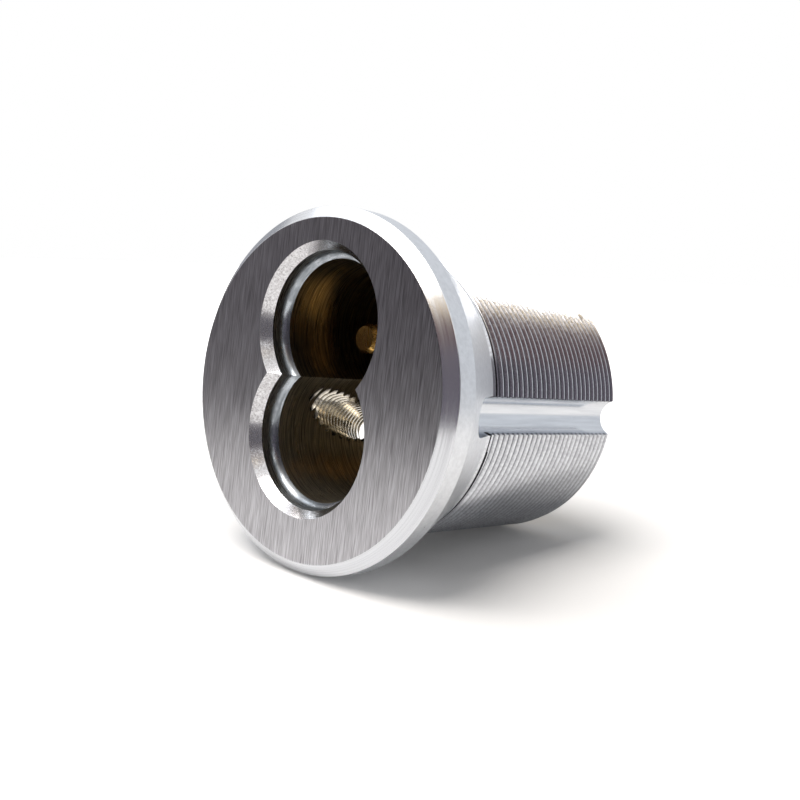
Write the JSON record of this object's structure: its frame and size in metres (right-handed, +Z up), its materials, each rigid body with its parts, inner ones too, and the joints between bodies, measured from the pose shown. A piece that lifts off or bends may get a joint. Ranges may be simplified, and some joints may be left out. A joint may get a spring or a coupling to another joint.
{
  "type": "mortise cylinder housing",
  "caption": "Round mortise cylinder housing with a figure-8 chamber for an interchangeable core, a threaded body, a throw member and a cam.",
  "frame": {"origin": "on the housing's axis, half way along the threaded length", "axes": "+Y along the housing's axis from the front face towards the cam, +Z up through the lobe that takes the plug, +X to the right seen from the front"},
  "size_m": [0.0358, 0.0352, 0.0358],
  "materials": {
    "satin_chrome": "satin chrome plate on brass, straight brushed grain on the front face",
    "bare_brass": "turned, unplated",
    "spring_steel": "dark, oiled",
    "cam_brass": "blanked, tumbled",
    "plated_steel": "zinc plated"
  },
  "bodies": {
    "housing_body": {"housing": "satin_chrome", "retaining_ring": "spring_steel"},
    "throw_body": {"throw_member": "bare_brass", "throw_pin_right": "bare_brass", "throw_pin_left": "bare_brass", "cam": "cam_brass", "cam_screw_upper": "plated_steel", "cam_screw_lower": "plated_steel"}
  },
  "joints": [
    {"name": "throw_turn", "type": "hinge", "parent": "housing_body", "child": "throw_body", "pos_m": [0, 0.00635, 0.0063], "axis": [0, 1, 0], "continuous": true}
  ]
}
